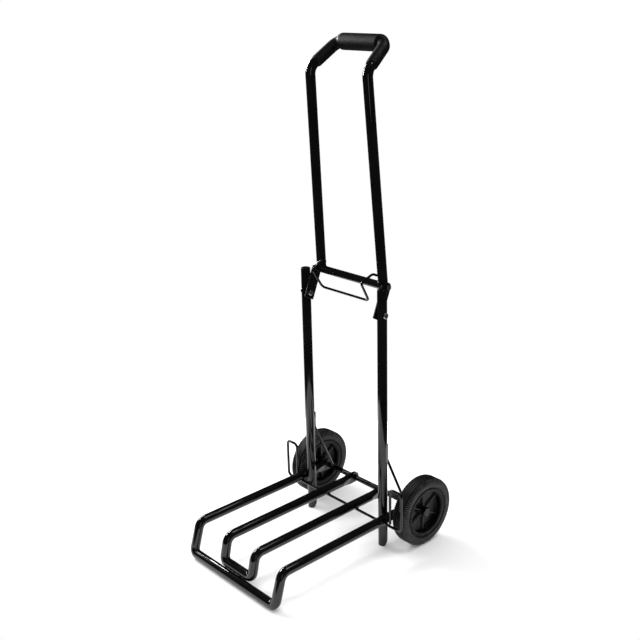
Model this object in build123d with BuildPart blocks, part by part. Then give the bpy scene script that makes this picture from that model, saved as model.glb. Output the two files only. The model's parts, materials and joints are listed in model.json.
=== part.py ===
from build123d import *
import os
from math import atan2, degrees, hypot

os.makedirs("parts", exist_ok=True)

# A folding hand truck. X runs across it, -Y is the load side, +Y the wheel side, Z is up.
# The origin is on the floor, in the middle of the truck's footprint.

# Tubes, rods and plate
TUBE_R = 10.0
TUBE_WALL = 1.5
CROSS_TUBE_R = 8.0
ROD_R = 3.0
BAIL_R = 2.5
PLATE = 2.0

# Clearances
WELD_GAP = 0.05
RUNNING = 0.05
SIDE_PLAY = 0.3
STOP_GAP = 0.5

# Wheels and axle
WHEEL_R = 75.0
TYRE_WIDTH = 35.0
TYRE_INNER_R = 50.0
TYRE_SHOULDER = 7.0
GROOVES = 3
GROOVE_WIDTH = 2.6
GROOVE_DEPTH = 1.6
GROOVE_PITCH = 7.5
RIM_WALL = 4.5
RIM_WIDTH = 28.0
WEB_THICKNESS = 3.0
HUB_R = 12.5
HUB_LENGTH = 25.0
HUB_INSET = 0.4
BUSH_WALL = 2.5
RIBS = 6
RIB_WIDTH = 2.5
RIB_DEPTH = 14.0
AXLE_R = 6.0
WHEEL_TO_PRONG = 1.0
CAP_NUT_LENGTH = 6.0

# Base: four prongs from two bent tubes, one nested in the other
POST_SPACING = 226.0
GUARD_GAP = 3.0
INNER_PRONG_SPACING = 90.0
PRONG_REACH = 365.0
BAR_REACH = 385.0
INNER_PRONG_STEP = 6.0
PRONG_BEND_R = 18.0
BAR_BEND_R = 12.0
LUG_THICKNESS = 6.0
LUG_HEIGHT = 24.0
LUG_BACK = 14.0
LUG_TAPER = 26.0

# Posts and braces
POST_HEIGHT = 569.0
CAP_HEIGHT = 3.0
CAP_ROUNDING = 2.0
CAP_PLUG = 12.0
FOOT_CUT = 15.0
BRACE_TOP = 232.0
BRACE_KNEE = 197.0
BRACE_BEND_R = 14.0
GUARD_TOP = 149.0
GUARD_WIDTH = 32.0
GUARD_BEND_R = 9.0

# Handle, its hinge and the wire bail
RIVET_DROP = 50.0
RIVET_R = 3.0
RIVET_HEAD_R = 6.0
RIVET_HEAD = 2.0
RIVET_TAIL = 5.0
RIVET_ROUNDING = 1.5
HINGE_DROP = 1.0
HINGE_SETBACK = 26.0
HINGE_BOLT_R = 4.0
BOLT_HEAD_R = 6.5
BOLT_HEAD = 4.0
PLUG_LENGTH = 12.0
BRACKET_TOE = 12.0
BRACKET_TOE_FRONT = 10.0
BRACKET_TOE_BACK = 16.0
BRACKET_TOP_FRONT = 17.0
BRACKET_EYE_R = 9.5
STOP_TAB_HEIGHT = 7.0
FOLD_GAP = 3.5
GRIP_SLOPE_RISE = 46.0
LEG_LEAN = 28.0
LEG_TAPER = 11.5
GRIP_SETBACK = 36.0
GRIP_CORNER_X = 66.0
LEG_BEND_R = 24.0
GRIP_BEND_R = 20.0
GRIP_R = 16.5
GRIP_END_R = 12.0
GRIP_BAR_X = 56.0
GRIP_OVERLAP = 64.0
BAIL_PIVOT_RISE = 19.0
BAIL_ARCH_REACH = 14.0
BAIL_ARCH_RISE = 25.0
BAIL_NOSE_X = 72.0
BAIL_NOSE_REACH = 43.0
BAIL_NOSE_RISE = 11.0
BAIL_CORNER_X = 69.0
BAIL_CORNER_REACH = 19.0
BAIL_CORNER_DROP = 31.0
BAIL_BEND_RADII = [4.0, 12.0, 5.0, 9.0]

# Places worked out from the sizes above
AXLE_Y = (BAR_REACH + TUBE_R - WHEEL_R) / 2
AXLE_Z = WHEEL_R
POST_X = POST_SPACING / 2
POST_SETBACK = WHEEL_R + GUARD_GAP - TUBE_R
POST_Y = AXLE_Y - POST_SETBACK
OUTER_PRONG_X = POST_X + 2 * TUBE_R + 2 * WELD_GAP
INNER_PRONG_X = INNER_PRONG_SPACING / 2
TYRE_IN_X = OUTER_PRONG_X + TUBE_R + WHEEL_TO_PRONG
WHEEL_X = TYRE_IN_X + TYRE_WIDTH / 2
HUB_IN_X = TYRE_IN_X + HUB_INSET
HUB_OUT_X = HUB_IN_X + HUB_LENGTH
LUG_OUT_X = OUTER_PRONG_X + LUG_THICKNESS / 2
WASHER_X = HUB_OUT_X + SIDE_PLAY
CAP_NUT_X = WASHER_X + PLATE
TUBE_BORE_R = TUBE_R - TUBE_WALL
PLATE_OUT_X = POST_X - TUBE_R - WELD_GAP
PLATE_IN_X = PLATE_OUT_X - PLATE
HINGE_Y = POST_Y + HINGE_SETBACK
HINGE_Z = POST_HEIGHT - HINGE_DROP
RIVET_Z = POST_HEIGHT - RIVET_DROP
GRIP_RISE = HINGE_Z - AXLE_Z - TUBE_R - GRIP_R - FOLD_GAP
LEG_RISE = GRIP_RISE - GRIP_SLOPE_RISE
CROSS_TUBE_END = PLATE_IN_X - SIDE_PLAY
LEG_X = PLATE_IN_X - SIDE_PLAY - TUBE_R
SIDES = {"left": -1, "right": 1}


def finish(builder, name):
    """Names a finished piece and writes it."""
    builder.part.label = name
    export_step(builder.part, f"parts/{name}.step")


def prong_frame(x, bend_y, bar_y, bar_z):
    """Corner points and bend radii of one U of tube: back, down, across, up and back."""
    start_y = AXLE_Y - LUG_BACK - LUG_TAPER
    corners = [(x, start_y, AXLE_Z), (x, bend_y, AXLE_Z), (x, bar_y, bar_z)]
    corners += [(-px, py, pz) for px, py, pz in reversed(corners)]
    return corners, [PRONG_BEND_R, BAR_BEND_R, BAR_BEND_R, PRONG_BEND_R]


def flattened_ends(x):
    """The pieces of the two tube ends pressed flat round the axle, at -x and x."""
    pieces = []
    for end_x in (-x, x):
        with BuildSketch(Plane.XZ.offset(-(AXLE_Y - LUG_BACK - LUG_TAPER))) as round_end:
            with Locations((end_x, AXLE_Z)):
                Circle(TUBE_R)
        with BuildSketch(Plane.XZ.offset(-(AXLE_Y - LUG_BACK))) as flat_end:
            with Locations((end_x, AXLE_Z)):
                Rectangle(LUG_THICKNESS, LUG_HEIGHT)
        pieces.append(loft([round_end.sketch.face(), flat_end.sketch.face()], mode=Mode.PRIVATE))
        with BuildSketch(Plane.YZ.offset(end_x - LUG_THICKNESS / 2)) as lug:
            with Locations((AXLE_Y, AXLE_Z)):
                Rectangle(LUG_BACK, LUG_HEIGHT, align=(Align.MAX, Align.CENTER))
                Circle(LUG_HEIGHT / 2)
                Circle(AXLE_R, mode=Mode.SUBTRACT)
        pieces.append(extrude(lug.sketch, LUG_THICKNESS, mode=Mode.PRIVATE))
    return pieces


# The two bent tubes of the base, welded to the axle through their flattened ends
NEST = (2 * TUBE_R) / 2**0.5 + WELD_GAP
BASE_TUBES = {
    "outer_prong_frame": (OUTER_PRONG_X, 0.0, 0.0),
    "inner_prong_frame": (INNER_PRONG_X, INNER_PRONG_STEP, NEST),
}
for name, (prong_x, step, nest) in BASE_TUBES.items():
    bend_y, bar_y = AXLE_Y - PRONG_REACH + step, AXLE_Y - BAR_REACH + nest
    corners, radii = prong_frame(prong_x, bend_y, bar_y, TUBE_R + nest)
    ends = flattened_ends(prong_x)
    with BuildPart() as prongs:
        with BuildLine() as route:
            FilletPolyline(*corners, radius=radii)
        with BuildSketch(Plane(origin=corners[0], z_dir=(0, -1, 0))):
            Circle(TUBE_R)
            Circle(TUBE_BORE_R, mode=Mode.SUBTRACT)
        sweep(path=route.line)
        add(ends)
    finish(prongs, name)

# Posts, with the foot cut away at the back so that the truck can tip onto its wheels
for side, sign in SIDES.items():
    with BuildPart() as post:
        with BuildSketch():
            with Locations((sign * POST_X, POST_Y)):
                Circle(TUBE_R)
                Circle(TUBE_BORE_R, mode=Mode.SUBTRACT)
        extrude(amount=POST_HEIGHT)
        with BuildSketch(Plane.YZ.offset(sign * POST_X)):
            with Locations(Location((POST_Y + TUBE_R - FOOT_CUT, 0), 45)):
                Rectangle(6 * TUBE_R, 2 * TUBE_R, align=(Align.CENTER, Align.MAX))
        extrude(amount=2 * TUBE_R, both=True, mode=Mode.SUBTRACT)
        with BuildSketch(Plane.YZ.offset(sign * POST_X)):
            with Locations((POST_Y, RIVET_Z)):
                Circle(RIVET_R)
        extrude(amount=2 * TUBE_R, both=True, mode=Mode.SUBTRACT)
    finish(post, f"{side}_post")

    with BuildPart() as cap:
        with BuildSketch(Plane.XY.offset(POST_HEIGHT)):
            with Locations((sign * POST_X, POST_Y)):
                Circle(TUBE_R)
        extrude(amount=CAP_HEIGHT)
        fillet(cap.edges().group_by(Axis.Z)[-1], CAP_ROUNDING)
        with BuildSketch(Plane.XY.offset(POST_HEIGHT)):
            with Locations((sign * POST_X, POST_Y)):
                Circle(TUBE_BORE_R)
        extrude(amount=-CAP_PLUG)
    finish(cap, f"{side}_post_cap")

# Brace rods: welded down the back of each post, then slanting to the top of the axle
for side, sign in SIDES.items():
    rod_y = POST_Y + TUBE_R + ROD_R + WELD_GAP
    run_y, run_z = rod_y - AXLE_Y, BRACE_KNEE - AXLE_Z
    stand_off = (AXLE_R + WELD_GAP) / hypot(run_y, run_z)
    foot = (sign * POST_X, AXLE_Y + run_y * stand_off, AXLE_Z + run_z * stand_off)
    knee = (sign * POST_X, rod_y, BRACE_KNEE)
    with BuildPart() as brace:
        with BuildLine() as route:
            FilletPolyline((sign * POST_X, rod_y, BRACE_TOP), knee, foot, radius=BRACE_BEND_R)
        with BuildSketch(Plane(origin=(sign * POST_X, rod_y, BRACE_TOP), z_dir=(0, 0, -1))):
            Circle(ROD_R)
        sweep(path=route.line)
    finish(brace, f"{side}_brace_rod")

# Guard rod: under the prongs, across the posts, and up into a loop in front of each wheel
guard_y = POST_Y - TUBE_R - ROD_R - WELD_GAP
guard_z = AXLE_Z - TUBE_R - ROD_R - WELD_GAP
guard_in_x = OUTER_PRONG_X + TUBE_R + ROD_R + STOP_GAP
guard_out_x = guard_in_x + GUARD_WIDTH
with BuildPart() as guard_rod:
    half = [
        (guard_in_x, guard_y, guard_z + 2 * ROD_R + WELD_GAP),
        (guard_in_x, guard_y, GUARD_TOP),
        (guard_out_x, guard_y, GUARD_TOP),
        (guard_out_x, guard_y, guard_z),
    ]
    with BuildLine() as route:
        FilletPolyline(*half, *[(-x, y, z) for x, y, z in reversed(half)], radius=GUARD_BEND_R)
    with BuildSketch(Plane(origin=half[0], z_dir=(0, 0, 1))):
        Circle(ROD_R)
    sweep(path=route.line)
finish(guard_rod, "guard_rod")

# Axle
with BuildPart() as axle:
    with BuildSketch(Plane.YZ):
        with Locations((AXLE_Y, AXLE_Z)):
            Circle(AXLE_R)
    extrude(amount=CAP_NUT_X + CAP_NUT_LENGTH - PLATE, both=True)
finish(axle, "axle")


def wheel_plane(side, x):
    """A plane across the axle at distance x from the middle, facing outwards on the given side."""
    return Plane(origin=(SIDES[side] * x, AXLE_Y, AXLE_Z), x_dir=(0, 1, 0), z_dir=(SIDES[side], 0, 0))


# Wheels, each with its tyre, rim and bush, held between a spacer and a washer with a cap nut
for side, sign in SIDES.items():
    with BuildPart() as tyre:
        with BuildSketch(Plane.XY.offset(AXLE_Z)):
            with Locations((sign * WHEEL_X, AXLE_Y + TYRE_INNER_R)):
                Rectangle(TYRE_WIDTH, WHEEL_R - TYRE_INNER_R, align=(Align.CENTER, Align.MIN))
            fillet(vertices().group_by(Axis.Y)[-1], TYRE_SHOULDER)
            fillet(vertices().group_by(Axis.Y)[0], TYRE_SHOULDER / 2)
            with Locations((sign * WHEEL_X, AXLE_Y + WHEEL_R)):
                with GridLocations(GROOVE_PITCH, 0, GROOVES, 1):
                    Rectangle(GROOVE_WIDTH, 2 * GROOVE_DEPTH, mode=Mode.SUBTRACT)
        revolve(axis=Axis((0, AXLE_Y, AXLE_Z), (1, 0, 0)))
    finish(tyre, f"{side}_tyre")

    with BuildPart() as rim:
        with BuildSketch(wheel_plane(side, WHEEL_X - RIM_WIDTH / 2)):
            Circle(TYRE_INNER_R)
            Circle(TYRE_INNER_R - RIM_WALL, mode=Mode.SUBTRACT)
        extrude(amount=RIM_WIDTH)
        with BuildSketch(wheel_plane(side, WHEEL_X - WEB_THICKNESS / 2)):
            Circle(TYRE_INNER_R - RIM_WALL / 2)
        extrude(amount=WEB_THICKNESS)
        with BuildSketch(wheel_plane(side, WHEEL_X - RIB_DEPTH / 2)):
            with PolarLocations(0, RIBS):
                Rectangle(TYRE_INNER_R - RIM_WALL / 2, RIB_WIDTH, align=(Align.MIN, Align.CENTER))
        extrude(amount=RIB_DEPTH)
        with BuildSketch(wheel_plane(side, HUB_IN_X)):
            Circle(HUB_R)
        extrude(amount=HUB_LENGTH)
        with BuildSketch(wheel_plane(side, HUB_IN_X)):
            Circle(AXLE_R + RUNNING + BUSH_WALL)
        extrude(amount=HUB_LENGTH, mode=Mode.SUBTRACT)
    finish(rim, f"{side}_rim")

    with BuildPart() as bush:
        with BuildSketch(wheel_plane(side, HUB_IN_X)):
            Circle(AXLE_R + RUNNING + BUSH_WALL)
            Circle(AXLE_R + RUNNING, mode=Mode.SUBTRACT)
        extrude(amount=HUB_LENGTH)
    finish(bush, f"{side}_wheel_bush")

    with BuildPart() as spacer:
        with BuildSketch(wheel_plane(side, LUG_OUT_X)):
            Circle(AXLE_R + BUSH_WALL)
            Circle(AXLE_R, mode=Mode.SUBTRACT)
        extrude(amount=HUB_IN_X - SIDE_PLAY - LUG_OUT_X)
    finish(spacer, f"{side}_axle_spacer")

    with BuildPart() as cap_nut:
        with BuildSketch(wheel_plane(side, CAP_NUT_X)):
            Circle(AXLE_R + 2 * PLATE)
        extrude(amount=CAP_NUT_LENGTH)
        fillet(cap_nut.faces().sort_by(Axis((0, 0, 0), (sign, 0, 0)))[-1].edges(), PLATE)
        with BuildSketch(wheel_plane(side, CAP_NUT_X)):
            Circle(AXLE_R)
        extrude(amount=CAP_NUT_LENGTH - PLATE, mode=Mode.SUBTRACT)
    finish(cap_nut, f"{side}_cap_nut")

with BuildPart() as washers:
    for side in SIDES:
        with BuildSketch(wheel_plane(side, WASHER_X)):
            Circle(AXLE_R + 2 * PLATE)
            Circle(AXLE_R, mode=Mode.SUBTRACT)
        extrude(amount=PLATE)
finish(washers, "axle_washers")

# Hinge brackets: a slanting plate riveted and welded to the inside of each post. A tab in front of
# the handle leg stops the handle when it is upright.
slant = degrees(atan2(HINGE_Z - RIVET_Z, HINGE_SETBACK))
reach = hypot(HINGE_SETBACK, HINGE_Z - RIVET_Z)
for side, sign in SIDES.items():
    inner_face = sign * PLATE_IN_X
    with BuildPart() as bracket:
        with BuildSketch(Plane.YZ.offset(inner_face)):
            with Locations(Location((POST_Y, RIVET_Z), slant)):
                Polygon(
                    (-BRACKET_TOE, -BRACKET_TOE_BACK),
                    (reach, -BRACKET_EYE_R),
                    (reach + BRACKET_EYE_R, 0),
                    (reach, BRACKET_TOP_FRONT),
                    (-BRACKET_TOE, BRACKET_TOE_FRONT),
                    align=None,
                )
            with Locations((HINGE_Y, HINGE_Z)):
                Circle(BRACKET_EYE_R)
                Circle(HINGE_BOLT_R + RUNNING, mode=Mode.SUBTRACT)
            with Locations((POST_Y, RIVET_Z)):
                Circle(RIVET_R, mode=Mode.SUBTRACT)
        extrude(amount=sign * PLATE)
        with BuildSketch(Plane.YZ.offset(inner_face)):
            with Locations((HINGE_Y - TUBE_R - 2 * STOP_GAP, HINGE_Z)):
                Rectangle(PLATE, STOP_TAB_HEIGHT, align=(Align.MAX, Align.MIN))
        extrude(amount=-sign * TUBE_R)
    finish(bracket, f"{side}_hinge_bracket")

    with BuildPart() as rivet:
        inner_end = PLATE_IN_X - RIVET_TAIL
        outer_end = POST_X + TUBE_R + RIVET_HEAD
        rivet_plane = Plane(origin=(sign * inner_end, POST_Y, RIVET_Z), z_dir=(sign, 0, 0))
        with BuildSketch(rivet_plane):
            Circle(RIVET_R)
        extrude(amount=outer_end - inner_end)
        outer_plane = rivet_plane.offset(outer_end - RIVET_HEAD - inner_end)
        for plane, head in ((rivet_plane, RIVET_TAIL), (outer_plane, RIVET_HEAD)):
            with BuildSketch(plane):
                Circle(RIVET_HEAD_R)
            extrude(amount=head)
        rims = rivet.edges().filter_by(GeomType.CIRCLE).sort_by(Axis.X)
        fillet([rims[0], rims[-1]], RIVET_ROUNDING)
    finish(rivet, f"{side}_bracket_rivet")

    with BuildPart() as plug:
        with BuildSketch(Plane(origin=(sign * CROSS_TUBE_END, HINGE_Y, HINGE_Z), z_dir=(-sign, 0, 0))):
            Circle(CROSS_TUBE_R - TUBE_WALL)
            Circle(HINGE_BOLT_R, mode=Mode.SUBTRACT)
        extrude(amount=PLUG_LENGTH)
    finish(plug, f"{side}_hinge_plug")

    with BuildPart() as hinge_bolt:
        head_x = PLATE_OUT_X + SIDE_PLAY
        with BuildSketch(Plane(origin=(sign * head_x, HINGE_Y, HINGE_Z), z_dir=(-sign, 0, 0))):
            Circle(HINGE_BOLT_R)
        extrude(amount=head_x - CROSS_TUBE_END + PLUG_LENGTH)
        with BuildSketch(Plane(origin=(sign * head_x, HINGE_Y, HINGE_Z), z_dir=(sign, 0, 0))):
            RegularPolygon(BOLT_HEAD_R, 6)
        extrude(amount=BOLT_HEAD)
    finish(hinge_bolt, f"{side}_hinge_bolt")

# Cross tube, the part of the handle that turns in the brackets
with BuildPart() as cross_tube:
    with BuildSketch(Plane.YZ):
        with Locations((HINGE_Y, HINGE_Z)):
            Circle(CROSS_TUBE_R)
            Circle(CROSS_TUBE_R - TUBE_WALL, mode=Mode.SUBTRACT)
    extrude(amount=CROSS_TUBE_END, both=True)
finish(cross_tube, "handle_cross_tube")

# Handle tube: two legs welded on the cross tube, bent back at the top to the grip
bend_y, bend_z, bend_x = HINGE_Y - LEG_LEAN, HINGE_Z + LEG_RISE, LEG_X - LEG_TAPER
grip_y, grip_z = HINGE_Y + GRIP_SETBACK, HINGE_Z + GRIP_RISE
legs = [(LEG_X, HINGE_Y, HINGE_Z), (bend_x, bend_y, bend_z), (GRIP_CORNER_X, grip_y, grip_z)]
leg_direction = Vector(*legs[1]) - Vector(*legs[0])
bail_pivot_y = HINGE_Y - LEG_LEAN * BAIL_PIVOT_RISE / LEG_RISE
bail_pivot_z = HINGE_Z + BAIL_PIVOT_RISE
with BuildPart() as handle_tube:
    with BuildLine() as route:
        FilletPolyline(
            *legs,
            *[(-x, y, z) for x, y, z in reversed(legs)],
            radius=[LEG_BEND_R, GRIP_BEND_R, GRIP_BEND_R, LEG_BEND_R],
        )
    with BuildSketch(Plane(origin=legs[0], z_dir=leg_direction)):
        Circle(TUBE_R)
        Circle(TUBE_BORE_R, mode=Mode.SUBTRACT)
    sweep(path=route.line)
    with BuildSketch(Plane.YZ):
        with Locations((HINGE_Y, HINGE_Z)):
            Circle(CROSS_TUBE_R)
        with Locations((HINGE_Y, HINGE_Z)):
            Rectangle(4 * TUBE_R, 2 * TUBE_R, align=(Align.CENTER, Align.MAX))
    extrude(amount=LEG_X + 2 * TUBE_R, both=True, mode=Mode.SUBTRACT)
    with BuildSketch(Plane.YZ):
        with Locations((bail_pivot_y, bail_pivot_z)):
            Circle(BAIL_R + RUNNING)
    extrude(amount=LEG_X, both=True, mode=Mode.SUBTRACT)
finish(handle_tube, "handle_tube")

# Foam grip, thick on the bar and thinner round its two bends and down the slopes
slope = Vector(*legs[1]) - Vector(*legs[2])
grip_end = Vector(*legs[2]) + slope.normalized() * GRIP_OVERLAP
with BuildPart() as grip:
    with BuildLine() as route:
        FilletPolyline(
            grip_end,
            legs[2],
            (-GRIP_CORNER_X, grip_y, grip_z),
            (-grip_end.X, grip_end.Y, grip_end.Z),
            radius=GRIP_BEND_R,
        )
    with BuildSketch(Plane(origin=grip_end, z_dir=-slope)):
        Circle(GRIP_END_R)
    sweep(path=route.line)
    with BuildSketch(Plane(origin=(0, grip_y, grip_z), z_dir=(1, 0, 0))):
        Circle(GRIP_R)
    extrude(amount=GRIP_BAR_X, both=True)
    with BuildSketch(Plane(origin=grip_end, z_dir=-slope)):
        Circle(TUBE_R + WELD_GAP)
    sweep(path=route.line, mode=Mode.SUBTRACT)
finish(grip, "grip")

# Wire bail: its ends turn in the legs, and it arches forward over the cross tube and hangs down
leg_in_x = LEG_X - LEG_TAPER * BAIL_PIVOT_RISE / LEG_RISE - TUBE_R
bail_half = [
    (leg_in_x + 2 * TUBE_WALL, bail_pivot_y, bail_pivot_z),
    (leg_in_x - 2 * BAIL_R, bail_pivot_y, bail_pivot_z),
    (leg_in_x - 2 * BAIL_R, HINGE_Y - BAIL_ARCH_REACH, HINGE_Z + BAIL_ARCH_RISE),
    (BAIL_NOSE_X, HINGE_Y - BAIL_NOSE_REACH, HINGE_Z + BAIL_NOSE_RISE),
    (BAIL_CORNER_X, HINGE_Y - BAIL_CORNER_REACH, HINGE_Z - BAIL_CORNER_DROP),
]
bail_other_half = [(-x, y, z) for x, y, z in reversed(bail_half)]
with BuildPart() as bail:
    with BuildLine() as route:
        FilletPolyline(*bail_half, *bail_other_half, radius=BAIL_BEND_RADII + BAIL_BEND_RADII[::-1])
    with BuildSketch(Plane(origin=bail_half[0], z_dir=(-1, 0, 0))):
        Circle(BAIL_R)
    sweep(path=route.line)
finish(bail, "cord_bail")
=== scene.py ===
# %% [markdown]
# # A folding hand truck
# The truck is a frame of bent steel tube in gloss black enamel, with two solid rubber tyres on
# plastic rims, a handle that folds down behind the posts, and a foam grip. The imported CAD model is
# loaded first. It fixes every place and every size, so each piece below is built where it says.

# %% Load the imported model
import json
import math

import bmesh
import bpy
from mathutils import Matrix, Vector


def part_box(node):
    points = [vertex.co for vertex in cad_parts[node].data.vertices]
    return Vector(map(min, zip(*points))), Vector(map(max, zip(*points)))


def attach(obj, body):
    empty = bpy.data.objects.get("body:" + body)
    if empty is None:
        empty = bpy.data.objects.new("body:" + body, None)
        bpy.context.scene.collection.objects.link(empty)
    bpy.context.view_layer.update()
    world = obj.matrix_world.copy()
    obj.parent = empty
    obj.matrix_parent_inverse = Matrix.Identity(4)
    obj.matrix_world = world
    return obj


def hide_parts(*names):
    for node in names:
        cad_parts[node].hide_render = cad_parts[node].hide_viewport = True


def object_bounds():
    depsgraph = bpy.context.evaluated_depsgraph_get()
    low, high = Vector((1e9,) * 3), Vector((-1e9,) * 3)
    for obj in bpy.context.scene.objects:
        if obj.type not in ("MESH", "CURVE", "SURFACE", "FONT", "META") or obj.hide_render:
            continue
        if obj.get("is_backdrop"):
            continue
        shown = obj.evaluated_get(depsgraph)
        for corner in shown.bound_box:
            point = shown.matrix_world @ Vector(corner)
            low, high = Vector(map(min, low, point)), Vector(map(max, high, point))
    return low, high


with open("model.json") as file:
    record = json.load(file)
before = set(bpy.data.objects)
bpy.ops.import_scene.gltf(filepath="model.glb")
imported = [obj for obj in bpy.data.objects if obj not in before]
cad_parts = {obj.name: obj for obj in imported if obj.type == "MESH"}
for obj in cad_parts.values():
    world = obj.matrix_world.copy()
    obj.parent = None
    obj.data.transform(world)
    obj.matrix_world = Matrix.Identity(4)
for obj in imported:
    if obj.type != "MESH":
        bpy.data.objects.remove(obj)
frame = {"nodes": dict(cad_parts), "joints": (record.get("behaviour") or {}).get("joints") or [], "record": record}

cad_low, cad_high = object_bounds()
joints = {joint["name"]: joint for joint in frame["joints"]}
record = frame["record"]

# %% [markdown]
# ## The camera
# A camera is placed by three turns: round the vertical for the side it looks from, down by its
# pitch, and a small roll. A long lens, about 55 mm, keeps the upright posts nearly parallel. The
# small shift moves the picture's middle without turning the camera.

# %% Camera
CAMERA_PLACE = Vector((1.3872, -1.2091, 1.1467))
CAMERA_YAW, CAMERA_PITCH, CAMERA_ROLL = (math.radians(a) for a in (47.72, 19.21, -1.31))

camera_data = bpy.data.cameras.new("camera")
SENSOR_WIDTH, LENS = 36.0, 54.88
SHIFT_ACROSS, SHIFT_UP = -0.01363, -0.00158
camera_data.sensor_width, camera_data.lens = SENSOR_WIDTH, LENS
camera_data.shift_x, camera_data.shift_y = SHIFT_ACROSS, SHIFT_UP
camera = bpy.data.objects.new("camera", camera_data)
camera.matrix_world = (
    Matrix.Translation(CAMERA_PLACE)
    @ Matrix.Rotation(CAMERA_YAW, 4, "Z")
    @ Matrix.Rotation(math.pi / 2 - CAMERA_PITCH, 4, "X")
    @ Matrix.Rotation(CAMERA_ROLL, 4, "Z")
)
bpy.context.scene.collection.objects.link(camera)
bpy.context.scene.camera = camera
bpy.context.scene.view_settings.view_transform = "Standard"

# %% [markdown]
# ## Light and floor
# Gloss black shows almost nothing of its own colour: what the eye sees is the room in it. So the
# room is planned like a studio. A white floor lights the undersides, a dim surround keeps the
# uprights dark, and two long strip lights on the left draw thin streaks round each bend.

# %% Surround
world = bpy.data.worlds.new("studio")
bpy.context.scene.world = world
world.use_nodes = True
sky = world.node_tree
background = sky.nodes["Background"]
background.inputs["Color"].default_value = (1.0, 1.0, 1.0, 1.0)
path = sky.nodes.new("ShaderNodeLightPath")
SEEN, IN_GLOSS, AS_FILL = 1.0, 0.045, 1.0
strength_fill = sky.nodes.new("ShaderNodeMix")
strength_fill.data_type = "FLOAT"
strength_fill.inputs["A"].default_value = AS_FILL
strength_fill.inputs["B"].default_value = IN_GLOSS
strength_seen = sky.nodes.new("ShaderNodeMix")
strength_seen.data_type = "FLOAT"
strength_seen.inputs["B"].default_value = SEEN
sky.links.new(path.outputs["Is Glossy Ray"], strength_fill.inputs["Factor"])
sky.links.new(strength_fill.outputs["Result"], strength_seen.inputs["A"])
sky.links.new(path.outputs["Is Camera Ray"], strength_seen.inputs["Factor"])
sky.links.new(strength_seen.outputs["Result"], background.inputs["Strength"])

# %% Strip lights
MIDDLE = (cad_low + cad_high) / 2


def strip_light(name, toward, along, distance, length, width, watts):
    """A softbox in a direction from the truck's middle, facing it, with its long side along."""
    data = bpy.data.lights.new(name, "AREA")
    data.shape = "RECTANGLE"
    data.size, data.size_y = length, width
    data.energy = watts
    lamp = bpy.data.objects.new(name, data)
    back = Vector(toward).normalized()
    long_side = (Vector(along) - back * back.dot(Vector(along))).normalized()
    turn = Matrix((long_side, back.cross(long_side), back)).transposed().to_4x4()
    lamp.matrix_world = Matrix.Translation(MIDDLE + back * distance) @ turn
    bpy.context.scene.collection.objects.link(lamp)


ALONG_BEND = (0.0, 1.0, 0.25)
STRIP = dict(distance=2.4, length=1.7, width=0.07, watts=42.0)
strip_light("strip_high", (-0.84, -0.13, 0.52), ALONG_BEND, **STRIP)
strip_light("strip_low", (-0.945, 0.05, 0.32), ALONG_BEND, **STRIP)
strip_light(
    "soft_top", (0.25, 0.35, 0.90), (1, 0, 0), distance=2.6, length=1.2, width=1.2, watts=16.0
)
strip_light(
    "soft_front", (0.75, -0.55, 0.20), (0, 0, 1), distance=3.0, length=1.6, width=0.35, watts=4.0
)

# %% [markdown]
# ## Finishes
# Each finish is a small tree of nodes on a Principled shader. All of them share three layers: a
# slow noise that shifts the colour a little, a second one that makes some patches smoother than
# others, and a fine one that moves the surface itself through a Bump node. They read Object
# coordinates, in metres, so a scale of 400 gives grain about 2.5 mm across.


# %% One helper for all finishes
COLOUR_FROM, COLOUR_TO = 0.35, 0.7
ROUGH_FROM, ROUGH_TO, ROUGH_FINER = 0.3, 0.7, 2.7
COLOUR_DETAIL, ROUGH_DETAIL, GRAIN_DETAIL = 4.0, 5.0, 3.0


def finish(name, dark, light, patch, smooth, rough, grain, height, stretch=(1, 1, 1), **sockets):
    """A material whose colour runs from dark to light and its roughness from smooth to rough."""
    material = bpy.data.materials.new(name)
    material.use_nodes = True
    tree = material.node_tree
    shader = tree.nodes["Principled BSDF"]
    for socket, value in sockets.items():
        shader.inputs[socket.replace("_", " ")].default_value = value
    place = tree.nodes.new("ShaderNodeTexCoord")
    pull = tree.nodes.new("ShaderNodeMapping")
    pull.inputs["Scale"].default_value = stretch
    tree.links.new(place.outputs["Object"], pull.inputs["Vector"])
    noises = {}
    layers = (
        ("colour", patch, COLOUR_DETAIL),
        ("rough", patch * ROUGH_FINER, ROUGH_DETAIL),
        ("grain", grain, GRAIN_DETAIL),
    )
    for layer, scale, detail in layers:
        noise = tree.nodes.new("ShaderNodeTexNoise")
        noise.name = layer
        noise.inputs["Scale"].default_value = scale
        noise.inputs["Detail"].default_value = detail
        tree.links.new(pull.outputs["Vector"], noise.inputs["Vector"])
        noises[layer] = noise
    ramp = tree.nodes.new("ShaderNodeValToRGB")
    low_stop, high_stop = ramp.color_ramp.elements
    low_stop.position, high_stop.position = COLOUR_FROM, COLOUR_TO
    low_stop.color, high_stop.color = (*dark, 1.0), (*light, 1.0)
    tree.links.new(noises["colour"].outputs["Fac"], ramp.inputs["Fac"])
    tree.links.new(ramp.outputs["Color"], shader.inputs["Base Color"])
    spread = tree.nodes.new("ShaderNodeMapRange")
    spread.inputs["From Min"].default_value = ROUGH_FROM
    spread.inputs["From Max"].default_value = ROUGH_TO
    spread.inputs["To Min"].default_value = smooth
    spread.inputs["To Max"].default_value = rough
    tree.links.new(noises["rough"].outputs["Fac"], spread.inputs["Value"])
    tree.links.new(spread.outputs["Result"], shader.inputs["Roughness"])
    bump = tree.nodes.new("ShaderNodeBump")
    bump.name = "surface"
    bump.inputs["Distance"].default_value = height
    tree.links.new(noises["grain"].outputs["Fac"], bump.inputs["Height"])
    tree.links.new(bump.outputs["Normal"], shader.inputs["Normal"])
    return material


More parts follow.
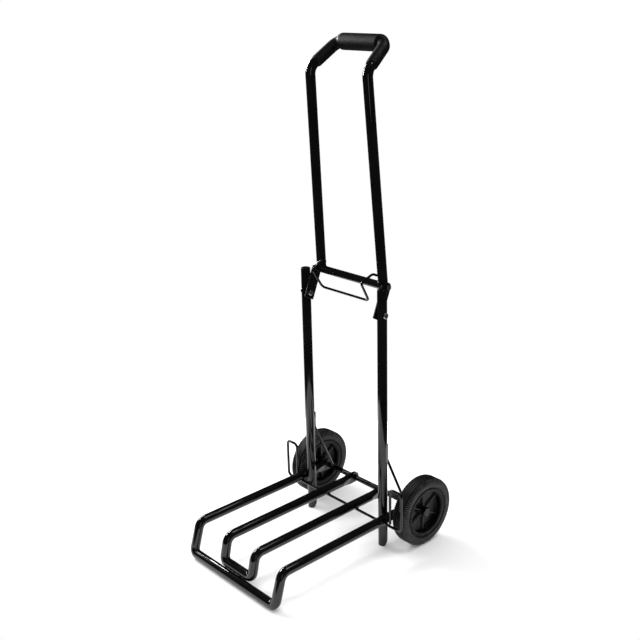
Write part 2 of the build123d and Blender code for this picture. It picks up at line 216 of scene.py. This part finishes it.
# %% [markdown]
# Enamel is very dark, very smooth, and has the faint waves that painters call orange peel. Zinc
# plate is a metal with soft cloudy patches, and the axle's steel is blackened. Moulded plastic is
# satin, and its ribs are coloured much lighter: a painted highlight. The raised tread is coloured
# lighter than the rest of the tyre: a painted highlight. Foam is matt, with cells under a
# millimetre, pulled into faint streaks along the bar. Nylon shows only in the bushes.

# %% The finishes of this truck
enamel = finish(
    "gloss_black_enamel", dark=(0.0010, 0.0010, 0.0013), light=(0.0026, 0.0025, 0.0032),
    patch=14.0, smooth=0.04, rough=0.10, grain=110.0, height=0.000008, Specular_IOR_Level=0.5,
)
zinc = finish(
    "bright_zinc", dark=(0.42, 0.43, 0.45), light=(0.68, 0.69, 0.71),
    patch=90.0, smooth=0.16, rough=0.34, grain=900.0, height=0.00003, Metallic=1.0,
)
dark_steel = finish(
    "blackened_steel", dark=(0.012, 0.012, 0.014), light=(0.05, 0.05, 0.055),
    patch=70.0, smooth=0.18, rough=0.36, grain=700.0, height=0.00003,
    stretch=(0.2, 1, 1), Metallic=1.0,
)
rim_plastic = finish(
    "satin_black_plastic", dark=(0.0010, 0.0010, 0.0012), light=(0.0026, 0.0026, 0.0029),
    patch=45.0, smooth=0.22, rough=0.36, grain=1400.0, height=0.00004, Specular_IOR_Level=0.15,
)
# The ribs are the rim's plastic coloured far lighter: a painted highlight along the ribs.
painted_highlight_ribs = finish(
    "ribs_with_painted_highlight", dark=(0.018, 0.018, 0.019), light=(0.055, 0.055, 0.057),
    patch=60.0, smooth=0.30, rough=0.45, grain=1200.0, height=0.00004, Specular_IOR_Level=0.5,
)
foam = finish(
    "grip_foam", dark=(0.0010, 0.0010, 0.0012), light=(0.0042, 0.0042, 0.0048),
    patch=60.0, smooth=0.38, rough=0.62, grain=900.0, height=0.00025,
    stretch=(0.12, 1, 1), Specular_IOR_Level=0.2,
)
nylon = finish(
    "natural_nylon", dark=(0.55, 0.54, 0.50), light=(0.66, 0.65, 0.61),
    patch=80.0, smooth=0.35, rough=0.5, grain=1200.0, height=0.00005,
)
rubber = finish(
    "tyre_rubber", dark=(0.0016, 0.0016, 0.0018), light=(0.0050, 0.0050, 0.0054),
    patch=40.0, smooth=0.42, rough=0.66, grain=1100.0, height=0.00010, Specular_IOR_Level=0.2,
)
# The tread blocks are the tyre's rubber coloured far lighter: a painted highlight on the raised tread.
painted_highlight_tread = finish(
    "raised_tread_painted_highlight", dark=(0.016, 0.016, 0.0165), light=(0.075, 0.075, 0.077),
    patch=160.0, smooth=0.38, rough=0.58, grain=1400.0, height=0.00010, Specular_IOR_Level=0.5,
)

# %% [markdown]
# ## The carried-over CAD pieces
# The CAD tubes, rods, plates and fastenings already have the right shape, and their meshes are left
# alone. Each node takes the finish of its material slot in the record, except the axle, its
# spacers, washers and cap nuts: their slot is zinc steel, and they are dressed as blackened steel.

# %% Dress the CAD nodes
FINISH_OF_SLOT = {
    "black_enamel": enamel, "zinc_steel": zinc, "tyre_rubber": rubber,
    "black_plastic": rim_plastic, "nylon": nylon, "grip_foam": foam,
}
BLACKENED = ("axle", "spacer", "cap_nut", "washers")
slot_of = {part["node"]: part["material_slot"] for part in record["subparts"]}
for name, node in frame["nodes"].items():
    node.data.materials.clear()
    chosen = dark_steel if name.endswith(BLACKENED) else FINISH_OF_SLOT[slot_of[name]]
    node.data.materials.append(chosen)
print("dressed", len(slot_of), "nodes")


# %% [markdown]
# ## Helpers for new pieces
# A turned shape is a list of points that is spun round the axle. A swept shape is a ring that is
# carried along a path. Both end as a plain closed mesh whose object sits at the origin.


# %% Mesh helpers
MERGE = 1e-6


def mesh_piece(name, bm, material, shade_angle=40.0):
    """A finished object from a bmesh, with its faces outwards and soft shading below an angle."""
    bmesh.ops.remove_doubles(bm, verts=bm.verts, dist=MERGE)
    bmesh.ops.recalc_face_normals(bm, faces=bm.faces)
    sharp = math.radians(shade_angle)
    for edge in bm.edges:
        edge.smooth = len(edge.link_faces) == 2 and edge.calc_face_angle(0.0) < sharp
    for face in bm.faces:
        face.smooth = True
    mesh = bpy.data.meshes.new(name)
    bm.to_mesh(mesh)
    bm.free()
    mesh.materials.append(material)
    piece = bpy.data.objects.new(name, mesh)
    bpy.context.scene.collection.objects.link(piece)
    return piece


def turned(profile, centre, side, steps=160):
    """A bmesh of a closed outline of (out, radius) points spun round the axle line at centre."""
    bm = bmesh.new()
    rings = []
    for step in range(steps):
        angle = 2 * math.pi * step / steps
        across, up = math.cos(angle), math.sin(angle)
        rings.append([
            bm.verts.new(centre + Vector((side * out, radius * across, radius * up)))
            for out, radius in profile
        ])
    for here, there in zip(rings, rings[1:] + rings[:1]):
        for a in range(len(profile)):
            b = (a + 1) % len(profile)
            bm.faces.new((here[a], here[b], there[b], there[a]))
    return bm


# %% [markdown]
# ## Patterns made by Geometry Nodes
# Two trees make what repeats. The first copies one part round the axle: it scatters points at the
# origin and turns each copy by its number times a full turn over the count. The second lays
# overlapping round drops of weld along a path, each a little different in size.


# %% A small builder of node trees
def new_tree(name, inputs):
    """An empty geometry tree with the named inputs, given as {name: (kind, default)}."""
    tree = bpy.data.node_groups.new(name, "GeometryNodeTree")
    tree.interface.new_socket("Geometry", in_out="INPUT", socket_type="NodeSocketGeometry")
    for label, (kind, default) in inputs.items():
        socket = tree.interface.new_socket(label, in_out="INPUT", socket_type="NodeSocket" + kind)
        if default is not None:
            socket.default_value = default
    tree.interface.new_socket("Geometry", in_out="OUTPUT", socket_type="NodeSocketGeometry")
    return tree, tree.nodes.new("NodeGroupInput"), tree.nodes.new("NodeGroupOutput")


def grow(piece, tree, **values):
    """Runs the tree on the piece with these inputs, and keeps the result as its plain mesh."""
    modifier = piece.modifiers.new(tree.name, "NODES")
    modifier.node_group = tree
    for item in tree.interface.items_tree:
        if item.in_out == "INPUT" and item.name in values:
            modifier[item.identifier] = values[item.name]
    bpy.context.view_layer.update()
    evaluated = piece.evaluated_get(bpy.context.evaluated_depsgraph_get())
    mesh = bpy.data.meshes.new_from_object(evaluated)
    piece.modifiers.clear()
    piece.data = mesh
    return piece


# %% The tree that copies a part round the axle
ring_tree, given, made = new_tree(
    "copies_round_axle", {"Count": ("Int", 6), "Finish": ("Material", None)}
)
link = ring_tree.links.new
points = ring_tree.nodes.new("GeometryNodePoints")
index = ring_tree.nodes.new("GeometryNodeInputIndex")
share = ring_tree.nodes.new("ShaderNodeMath")
share.operation = "DIVIDE"
turn = ring_tree.nodes.new("ShaderNodeMath")
turn.operation = "MULTIPLY"
turn.inputs[1].default_value = 2 * math.pi
euler = ring_tree.nodes.new("ShaderNodeCombineXYZ")
copies = ring_tree.nodes.new("GeometryNodeInstanceOnPoints")
solid = ring_tree.nodes.new("GeometryNodeRealizeInstances")
painted = ring_tree.nodes.new("GeometryNodeSetMaterial")
link(given.outputs["Count"], points.inputs["Count"])
link(index.outputs["Index"], share.inputs[0])
link(given.outputs["Count"], share.inputs[1])
link(share.outputs[0], turn.inputs[0])
link(turn.outputs[0], euler.inputs["X"])
link(points.outputs[0], copies.inputs["Points"])
link(given.outputs["Geometry"], copies.inputs["Instance"])
link(euler.outputs[0], copies.inputs["Rotation"])
link(copies.outputs[0], solid.inputs[0])
link(solid.outputs[0], painted.inputs["Geometry"])
link(given.outputs["Finish"], painted.inputs["Material"])
link(painted.outputs[0], made.inputs["Geometry"])

# %% The tree that lays weld along a path
weld_tree, given, made = new_tree(
    "weld_along_path",
    {
        "Spacing": ("Float", 0.0012), "Drop": ("Float", 0.0018),
        "Seed": ("Int", 3), "Finish": ("Material", None),
    },
)
link = weld_tree.links.new
to_curve = weld_tree.nodes.new("GeometryNodeMeshToCurve")
evenly = weld_tree.nodes.new("GeometryNodeResampleCurve")
evenly.mode = "LENGTH"
drop = weld_tree.nodes.new("GeometryNodeMeshIcoSphere")
DROP_SUBDIVISIONS, SMALLEST_DROP, LARGEST_DROP = 2, 0.85, 1.1
drop.inputs["Subdivisions"].default_value = DROP_SUBDIVISIONS
uneven = weld_tree.nodes.new("FunctionNodeRandomValue")
uneven.data_type = "FLOAT"
uneven.inputs[2].default_value, uneven.inputs[3].default_value = SMALLEST_DROP, LARGEST_DROP
drops = weld_tree.nodes.new("GeometryNodeInstanceOnPoints")
solid = weld_tree.nodes.new("GeometryNodeRealizeInstances")
soft = weld_tree.nodes.new("GeometryNodeSetShadeSmooth")
painted = weld_tree.nodes.new("GeometryNodeSetMaterial")
link(given.outputs["Geometry"], to_curve.inputs["Mesh"])
link(to_curve.outputs[0], evenly.inputs["Curve"])
link(given.outputs["Spacing"], evenly.inputs["Length"])
link(given.outputs["Drop"], drop.inputs["Radius"])
link(given.outputs["Seed"], uneven.inputs["Seed"])
link(evenly.outputs[0], drops.inputs["Points"])
link(drop.outputs["Mesh"], drops.inputs["Instance"])
link(uneven.outputs[1], drops.inputs["Scale"])
link(drops.outputs[0], solid.inputs[0])
link(solid.outputs[0], soft.inputs["Geometry"])
link(soft.outputs[0], painted.inputs["Geometry"])
link(given.outputs["Finish"], painted.inputs["Material"])
link(painted.outputs[0], made.inputs["Geometry"])
print("trees", [tree.name for tree in bpy.data.node_groups])

# %% [markdown]
# ## Tyres
# A solid tyre is one turned shape: a smooth bead ring that laps over the rim, a bulging sidewall,
# a round shoulder and a tread cut by five grooves. The outline is written for the outer half and
# mirrored for the inner half.

# %% Wheel sizes, from the CAD boxes
SIDES = {"left": -1, "right": 1}
tyre_low, tyre_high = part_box("right_tyre")
rim_low, rim_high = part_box("right_rim")
TYRE_R = (tyre_high.z - tyre_low.z) / 2
HALF_TYRE = (tyre_high.x - tyre_low.x) / 2
RIM_R = (rim_high.z - rim_low.z) / 2
HALF_RIM = (rim_high.x - (tyre_low.x + tyre_high.x) / 2)
wheel_centre = {side: Vector(joints[side + "_wheel_spin"]["pos_m"]) for side in SIDES}
print("tyre", round(TYRE_R, 4), round(HALF_TYRE, 4), "rim", round(RIM_R, 4), round(HALF_RIM, 4))

# %% Tyre outline
MM = 0.001
SIDE_GROOVES = (10.4, 5.2)
GROOVE_HALF, GROOVE_FLOOR_HALF, GROOVE_DEEP = 0.8, 0.8 * 0.7, 1.5
TREAD_AT = 75.0
groove_floor = TREAD_AT - GROOVE_DEEP
side_wall = [
    (14.1, 50.0), (14.1, 46.5), (14.9, 46.0), (15.8, 46.4), (16.2, 47.4), (16.2, 52.4),
    (15.8, 53.4), (15.1, 53.8), (14.9, 54.4), (15.3, 55.0), (16.3, 56.0), (17.0, 58.5),
    (17.4, 61.5), (17.4, 64.5), (17.0, 67.4), (16.2, 70.0), (15.0, 72.0), (13.4, 73.5),
    (12.2, 74.2),
]
half_tread = []
for at in SIDE_GROOVES:
    half_tread += [
        (at + GROOVE_HALF, TREAD_AT), (at + GROOVE_FLOOR_HALF, groove_floor),
        (at - GROOVE_FLOOR_HALF, groove_floor), (at - GROOVE_HALF, TREAD_AT),
    ]
half_tread += [(GROOVE_HALF, TREAD_AT), (GROOVE_FLOOR_HALF, groove_floor)]
half_outline = side_wall + half_tread
TYRE_OUTLINE = [(x * MM, r * MM) for x, r in half_outline]
TYRE_OUTLINE += [(-x, r) for x, r in reversed(TYRE_OUTLINE)]

# %% [markdown]
# Fine blocks run round each shoulder. One block is a narrow ridge of 26 faces that follows the
# side of the tyre up to the tread. The ring tree copies it round the axle on both sides, so that
# the tread's edge is real shape and not a texture. The blocks are coloured lighter than the tyre,
# a painted highlight on the raised tread.

# %% Build the tyres
SHOULDER_BLOCKS = 100
BLOCK_HALF, BLOCK_RISE, BLOCK_SUNK = 0.00055, 0.0010, 0.0004
BLOCK_FOOT_HALF = BLOCK_HALF * 1.5
SHOULDER_STARTS, LOW_RISE = 66, 0.5
BLOCK_LINE = [
    (16.7, 57.5), (17.2, 61.0), (17.3, 64.5), (16.8, 68.2), (15.7, 71.0), (14.2, 73.0), (12.6, 74.0)
]


def bar_faces(bm, rows):
    """Closes a bar of four-cornered rings, with a face at each end."""
    for here, there in zip(rows, rows[1:]):
        for a in range(4):
            b = (a + 1) % 4
            bm.faces.new((here[a], here[b], there[b], there[a]))
    bm.faces.new(rows[0])
    bm.faces.new(rows[-1])


def block_mesh(name, outward):
    """One shoulder block at the top of the wheel, lying down the shoulder on the outward side."""
    line = BLOCK_LINE
    bm = bmesh.new()
    rows = []
    for (x, r), (ax, ar), (bx, br) in zip(line, [line[0], *line[:-1]], [*line[1:], line[-1]]):
        across = Vector((br - ar, ax - bx)).normalized()
        rise = LOW_RISE if r < SHOULDER_STARTS or (x, r) == line[-1] else 1.0
        low = Vector((x, r)) * MM - across * BLOCK_SUNK
        high = Vector((x, r)) * MM + across * BLOCK_RISE * rise
        section = (
            (low, -BLOCK_FOOT_HALF), (high, -BLOCK_HALF), (high, BLOCK_HALF), (low, BLOCK_FOOT_HALF)
        )
        rows.append([bm.verts.new((outward * p.x, y, p.y)) for p, y in section])
    bar_faces(bm, rows)
    return mesh_piece(name, bm, painted_highlight_tread, 30.0)


for side, sign in SIDES.items():
    body = side + "_wheel"
    spun = turned(TYRE_OUTLINE, wheel_centre[side], sign)
    tyre = mesh_piece(side + "_rubber_tyre", spun, rubber, 32.0)
    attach(tyre, body)
    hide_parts(side + "_tyre")
    for edge_name, outward in (("outer", sign), ("inner", -sign)):
        blocks = block_mesh(f"{side}_{edge_name}_shoulder_blocks", outward)
        grow(blocks, ring_tree, Count=SHOULDER_BLOCKS, Finish=painted_highlight_tread)
        blocks.data.transform(Matrix.Translation(wheel_centre[side]))
        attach(blocks, body)
    print(tyre.name, len(tyre.data.polygons), "and", blocks.name, len(blocks.data.polygons))

# %% [markdown]
# ## Rims
# The rim is moulded in satin plastic: a drum that holds the tyre, a thin web across it, a hub
# with a rounded edge, and six thin ribs. The drum, web and hub are one turned outline. The ribs
# slope down from the hub to the drum, and the ring tree copies them. The ribs are coloured far
# lighter than the rim: a painted highlight along them.

# %% Build the rims
BORE = 8.6 * MM
HUB_R, HUB_LONG, WALL, WEB = 12.5 * MM, 25.0 * MM, 4.5 * MM, 1.5 * MM
HUB_BACK = tyre_low.x + 0.4 * MM
RIBS = 6
RIB_HALF, OUTER_RIB_TOP, INNER_RIB_TOP = 0.8 * MM, 7.0 * MM, 9.0 * MM
RIB_RUN = ((11.5 * MM, 1.0), (20 * MM, 0.93), (32 * MM, 0.86), (46.2 * MM, 0.8))
for side, sign in SIDES.items():
    mid = wheel_centre[side].x * sign
    hub_in, hub_out = HUB_BACK - mid, HUB_BACK + HUB_LONG - mid
    drum = RIM_R - WALL
    edge = 1.0 * MM
    outline = [
        (hub_out, BORE), (hub_out, HUB_R - edge), (hub_out - edge, HUB_R),
        (WEB + edge, HUB_R), (WEB, HUB_R + edge),
        (WEB, drum - 3 * edge), (WEB + edge, drum - edge), (WEB + 3 * edge, drum),
        (HALF_RIM - edge, drum), (HALF_RIM, drum + edge),
        (HALF_RIM, RIM_R - edge), (HALF_RIM - edge, RIM_R),
        (edge - HALF_RIM, RIM_R), (-HALF_RIM, RIM_R - edge),
        (-HALF_RIM, drum + edge), (edge - HALF_RIM, drum),
        (-WEB - 3 * edge, drum), (-WEB - edge, drum - edge), (-WEB, drum - 3 * edge),
        (-WEB, HUB_R + edge), (-WEB - edge, HUB_R),
        (hub_in + edge, HUB_R), (hub_in, HUB_R - edge), (hub_in, BORE),
    ]
    spun = turned(outline, wheel_centre[side], sign)
    rim = mesh_piece(side + "_moulded_rim", spun, rim_plastic, 35.0)
    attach(rim, side + "_wheel")
    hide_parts(side + "_rim")
    rib_faces = (("outer", sign, OUTER_RIB_TOP), ("inner", -sign, INNER_RIB_TOP))
    for face_name, face_sign, top in rib_faces:
        bm = bmesh.new()
        rows = []
        for r, share_of_top in RIB_RUN:
            low, high = WEB / 2, top * share_of_top
            foot, tip = RIB_HALF * 1.5, RIB_HALF * 0.7
            section = ((low, -foot), (high, -tip), (high, tip), (low, foot))
            rows.append([bm.verts.new((face_sign * out, y, r)) for out, y in section])
        bar_faces(bm, rows)
        ribs = mesh_piece(f"{side}_{face_name}_rim_ribs", bm, painted_highlight_ribs, 30.0)
        grow(ribs, ring_tree, Count=RIBS, Finish=painted_highlight_ribs)
        ribs.data.transform(Matrix.Translation(wheel_centre[side]))
        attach(ribs, side + "_wheel")
    print(rim.name, len(rim.data.polygons), "faces")

# %% [markdown]
# ## The foam grip
# The grip is a foam sleeve, thick on the bar and stretched thin round the bends. It is a ring
# carried along a rounded path, whose radius changes along the way. Small folds on the inside of
# each bend show that the sleeve was pushed round it.

# %% Grip path, from the hinge upwards
HINGE = Vector(joints["handle_fold"]["pos_m"])
grip_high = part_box("grip")[1]
BEND_R = 20.0 * MM
bend_point = HINGE + Vector((79.15, -28.0, 417.0)) * MM
corner = HINGE + Vector((66.0, 36.0, 463.0)) * MM
GRIP_BAR_R, GRIP_END_R, SLEEVE = grip_high.z - corner.z, 12.0 * MM, 64.0 * MM
PATH_STEP = 1.5 * MM


def rounded(points, radius, step):
    """Points every step or so along straight runs joined by arcs of this radius."""
    path = [points[0]]
    for before, here, after in zip(points, points[1:], points[2:]):
        a, b = (before - here).normalized(), (after - here).normalized()
        half = a.angle(b) / 2
        reach = radius / math.tan(half)
        centre = here + (a + b).normalized() * (radius / math.sin(half))
        start, stop = here + a * reach, here + b * reach
        turns = max(4, int(radius * (math.pi - 2 * half) / step))
        u, v = start - centre, stop - centre
        for n in range(turns + 1):
            t = n / turns
            w = math.pi - 2 * half
            path.append(centre + (u * math.sin((1 - t) * w) + v * math.sin(t * w)) / math.sin(w))
    path.append(points[-1])
    dense = [path[0]]
    for a, b in zip(path, path[1:]):
        parts = max(1, int((b - a).length / step))
        dense += [a.lerp(b, (n + 1) / parts) for n in range(parts)]
    return dense


down = (bend_point - corner).normalized()
grip_end = corner + down * SLEEVE
flip = Vector((-1, 1, 1))
grip_path = rounded([grip_end, corner, corner * flip, grip_end * flip], BEND_R, PATH_STEP)
print("grip path", len(grip_path), "points")

# %% Build the grip
RING = 48
FOLD_DEPTH, FOLDS_PER_METRE = 0.0005, 1600.0
BAR_ENDS, BAR_TAPERED = 0.050, 0.0635
END_ROUNDING, END_ROUND_LENGTH = 0.0012, 0.0025
FOLDS_BEGIN, FOLDS_FULL = 0.047, 0.056
FOLDS_FADE, FOLDS_STRONG = 0.022, 0.034


def smooth_step(value, low, high):
    """0 below low, 1 above high and a smooth rise between them."""
    t = min(1.0, max(0.0, (value - low) / (high - low)))
    return t * t * (3 - 2 * t)


bm = bmesh.new()
lengths = [0.0]
for a, b in zip(grip_path, grip_path[1:]):
    lengths.append(lengths[-1] + (b - a).length)
total = lengths[-1]
side_dir = (grip_path[1] - grip_path[0]).orthogonal().normalized()
rings = []
for number, point in enumerate(grip_path):
    ahead = grip_path[min(number + 1, len(grip_path) - 1)] - grip_path[max(number - 1, 0)]
    axis = ahead.normalized()
    side_dir = (side_dir - axis * axis.dot(side_dir)).normalized()
    up_dir = axis.cross(side_dir)
    from_end = min(lengths[number], total - lengths[number])
    thinner = smooth_step(abs(point.x), BAR_ENDS, BAR_TAPERED)
    radius = GRIP_END_R + (GRIP_BAR_R - GRIP_END_R) * (1 - thinner)
    radius -= END_ROUNDING * (1 - smooth_step(from_end, 0.0, END_ROUND_LENGTH))
    in_bend = smooth_step(abs(point.x), FOLDS_BEGIN, FOLDS_FULL)
    in_bend *= smooth_step(from_end, FOLDS_FADE, FOLDS_STRONG)
    ring = []
    for n in range(RING):
        angle = 2 * math.pi * n / RING
        out = side_dir * math.cos(angle) + up_dir * math.sin(angle)
        inside = max(0.0, -out.y * 0.7 - out.z * 0.7 - math.copysign(0.3, point.x) * out.x)
        fold = FOLD_DEPTH * in_bend * inside * math.sin(lengths[number] * FOLDS_PER_METRE)
        ring.append(bm.verts.new(point + out * (radius + fold)))
    rings.append(ring)
for here, there in zip(rings, rings[1:]):
    for a in range(RING):
        bm.faces.new((here[a], here[(a + 1) % RING], there[(a + 1) % RING], there[a]))
bm.faces.new(rings[0])
bm.faces.new(rings[-1])
grip = mesh_piece("foam_grip", bm, foam, 50.0)
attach(grip, "handle")
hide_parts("grip")

# %% [markdown]
# ## Weld beads
# The frame is held by short welds under the enamel. Each path follows the line where two pieces
# meet, and the weld tree lays the drops along it.


# %% Paths for the welds
def circle(centre, axis, radius, parts=36):
    """Points round a whole circle, the last one on the first."""
    axis = Vector(axis).normalized()
    along_x = abs(axis.x) > 0.9
    u = Vector((0, 1, 0)) if along_x else axis.orthogonal().normalized()
    v = axis.cross(u)
    turns = [2 * math.pi * n / parts for n in range(parts + 1)]
    return [Vector(centre) + (u * math.cos(t) + v * math.sin(t)) * radius for t in turns]


DROP_OVERLAP = 0.75


def weld_piece(name, paths, body, drop=0.0017):
    """One piece of weld along several paths, riding on a body."""
    mesh = bpy.data.meshes.new(name)
    verts, edges = [], []
    for path in paths:
        first = len(verts)
        verts += [tuple(p) for p in path]
        edges += [(first + n, first + n + 1) for n in range(len(path) - 1)]
    mesh.from_pydata(verts, edges, [])
    piece = bpy.data.objects.new(name, mesh)
    bpy.context.scene.collection.objects.link(piece)
    grow(piece, weld_tree, Spacing=drop * DROP_OVERLAP, Drop=drop, Seed=len(name), Finish=enamel)
    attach(piece, body)
    print(name, len(piece.data.polygons), "faces")


axle_low, axle_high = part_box("axle")
AXLE_CENTRE = (axle_low + axle_high) / 2
AXLE_R = (axle_high.z - axle_low.z) / 2
post_low, post_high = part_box("right_post")
POST = (post_low + post_high) / 2
TUBE_R = (post_high.x - post_low.x) / 2
PRONG_XS = [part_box(name)[1].x - TUBE_R for name in ("outer_prong_frame", "inner_prong_frame")]
brace_low, brace_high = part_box("right_brace_rod")
ROD_R = (brace_high.x - brace_low.x) / 2
guard_low, guard_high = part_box("guard_rod")
GUARD_Y = (guard_low.y + guard_high.y) / 2

# %% Lay the welds
LUG_HALF, LUG_WELD_PROUD = 3.0 * MM, 0.4 * MM
lug_paths = []
for prong_x in PRONG_XS:
    for sign in (-1, 1):
        for face in (-1, 1):
            x = sign * prong_x + face * LUG_HALF
            middle = (x, AXLE_CENTRE.y, AXLE_CENTRE.z)
            lug_paths.append(circle(middle, (1, 0, 0), AXLE_R + LUG_WELD_PROUD))
weld_piece("lug_welds", lug_paths, "frame")

# %% Welds of the brace rods
BRACE_WELD_FOOT, BRACE_WELD_STEP, BRACE_WELD_POINTS = 0.203, 0.003, 9
BRACE_WELD_OUT, BRACE_WELD_PROUD, BRACE_RING_PROUD = 0.9, 0.0006, 0.0003
FOOT_BACK, FOOT_UP = -0.3, 0.95
brace_paths = []
for sign in (-1, 1):
    for off in (-1, 1):
        x = sign * POST.x + off * ROD_R * BRACE_WELD_OUT
        y = POST.y + TUBE_R + BRACE_WELD_PROUD
        heights = [BRACE_WELD_FOOT + BRACE_WELD_STEP * n for n in range(BRACE_WELD_POINTS)]
        brace_paths.append([Vector((x, y, z)) for z in heights])
    foot_way = Vector((0, FOOT_BACK, FOOT_UP))
    foot = Vector((sign * POST.x, AXLE_CENTRE.y, AXLE_CENTRE.z)) + foot_way * AXLE_R
    brace_paths.append(circle(foot, foot_way, ROD_R + BRACE_RING_PROUD))
weld_piece("brace_welds", brace_paths, "frame", 0.0015)

# %% Welds of the guard rod
GUARD_WELD_OUT, GUARD_WELD_GAP, GUARD_WELD_CURVE = 0.8, 0.0002, 0.00015
guard_paths = []
GUARD_Z = guard_low.z + ROD_R
for sign in (-1, 1):
    for off in (-1, 1):
        z = GUARD_Z + off * ROD_R * GUARD_WELD_OUT
        y = POST.y - TUBE_R - GUARD_WELD_GAP
        guard_paths.append([
            Vector((sign * POST.x + n * MM, y - abs(n) * GUARD_WELD_CURVE, z)) for n in range(-5, 6)
        ])
        for prong_x in PRONG_XS:
            y = GUARD_Y + off * ROD_R * GUARD_WELD_OUT
            z = AXLE_CENTRE.z - TUBE_R - GUARD_WELD_GAP
            guard_paths.append([Vector((sign * prong_x + n * MM, y, z)) for n in range(-4, 5)])
weld_piece("guard_welds", guard_paths, "frame", 0.0014)

# %% [markdown]
# The legs are wider than the cross tube they stand on, so the weld of each is two arcs and not a
# ring: it is kept only where a leg's wall is over the cross tube. The turn is counted from its +X
# side, so the arc on that side is laid as two paths that meet.

# %% Welds of the handle's legs
LEG_TURN_PARTS, LEG_WELD_PROUD = 40, 0.0002
LEG_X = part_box("handle_tube")[1].x - TUBE_R
cross_low, cross_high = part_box("handle_cross_tube")
CROSS_R = (cross_high.z - cross_low.z) / 2
leg_paths = []
for sign in (-1, 1):
    path = []
    for n in range(LEG_TURN_PARTS + 1):
        angle = 2 * math.pi * n / LEG_TURN_PARTS
        across = (TUBE_R + LEG_WELD_PROUD) * math.cos(angle)
        along = (TUBE_R + LEG_WELD_PROUD) * math.sin(angle)
        over_tube = abs(along) < CROSS_R
        if over_tube:
            rise = math.sqrt((CROSS_R + LEG_WELD_PROUD) ** 2 - along ** 2)
            path.append(Vector((sign * LEG_X + across, HINGE.y + along, HINGE.z + rise)))
        if path and (not over_tube or n == LEG_TURN_PARTS):
            leg_paths.append(path)
            path = []
weld_piece("leg_welds", leg_paths, "handle", 0.0015)

# %% [markdown]
# ## Painted highlights on the bracket edges
# The hinge brackets are sheared from plate. The light their enamelled edges catch is painted on
# them: each has a narrow bar of bright zinc on its front edge and another round its toe. A bar is
# a row of small rectangles, each a little more or less proud than the last.

# %% Build the painted edge highlights
TOP_FRONT, TOE, TOE_FRONT, TOE_BACK = 17.0 * MM, 12.0 * MM, 10.0 * MM, 16.0 * MM
EDGE_PROUD, EDGE_SUNK, EDGE_WIDE, EDGE_PARTS = 0.25 * MM, 0.3 * MM, 2.1 * MM, 8
PROUD_MEAN, PROUD_SWING, PROUD_PACE = 0.6, 0.4, 2.3
EDGE_OUT_X = POST.x - TUBE_R - 0.1 * MM
for side, sign in SIDES.items():
    rivet_low, rivet_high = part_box(side + "_bracket_rivet")
    rivet = Vector((0, (rivet_low.y + rivet_high.y) / 2, (rivet_low.z + rivet_high.z) / 2))
    along = Vector((0, HINGE.y, HINGE.z)) - rivet
    reach = along.length
    along.normalize()
    front = Vector((0, -along.z, along.y))
    corners = [
        rivet + along * reach + front * TOP_FRONT,
        rivet - along * TOE + front * TOE_FRONT,
        rivet - along * TOE - front * TOE_BACK,
    ]
    bm = bmesh.new()
    for start, stop in zip(corners, corners[1:]):
        run = (stop - start).normalized()
        outward = Vector((0, run.z, -run.y))
        if outward.dot(rivet - start) > 0:
            outward.negate()
        rows = []
        for n in range(EDGE_PARTS + 1):
            point = start.lerp(stop, n / EDGE_PARTS)
            proud = EDGE_PROUD * (PROUD_MEAN + PROUD_SWING * math.sin(n * PROUD_PACE))
            section = (
                (0, proud), (-EDGE_WIDE, proud), (-EDGE_WIDE, -EDGE_SUNK), (0, -EDGE_SUNK)
            )
            ring = []
            for x, off in section:
                spot = point + outward * off
                ring.append(bm.verts.new((sign * (EDGE_OUT_X + x), spot.y, spot.z)))
            rows.append(ring)
        bar_faces(bm, rows)
    # Painted highlight: the bright zinc bars stand for the light caught on the enamelled edges.
    edge_piece = mesh_piece(side + "_bracket_edge_painted_highlight", bm, zinc, 30.0)
    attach(edge_piece, "frame")
    print(edge_piece.name, len(edge_piece.data.polygons), "faces")

# %% [markdown]
# ## Floor
# The floor is a plain pale disc. It is not large, because the uprights would mirror a large one
# and turn grey. The white surround takes over where it ends.

# %% Build the floor
FLOOR_R, FLOOR_DROP = 0.62, 0.0002
bm = bmesh.new()
bmesh.ops.create_circle(bm, cap_ends=True, radius=FLOOR_R, segments=128)
bmesh.ops.translate(bm, verts=bm.verts, vec=(MIDDLE.x, MIDDLE.y, -FLOOR_DROP))
floor_finish = finish(
    "studio_floor", dark=(0.90, 0.90, 0.90), light=(0.92, 0.92, 0.92),
    patch=3.0, smooth=0.75, rough=0.85, grain=300.0, height=0.00005, Specular_IOR_Level=0.2,
)
floor = mesh_piece("floor", bm, floor_finish)
floor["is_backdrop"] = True

# %% Sizes and end
low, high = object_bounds()
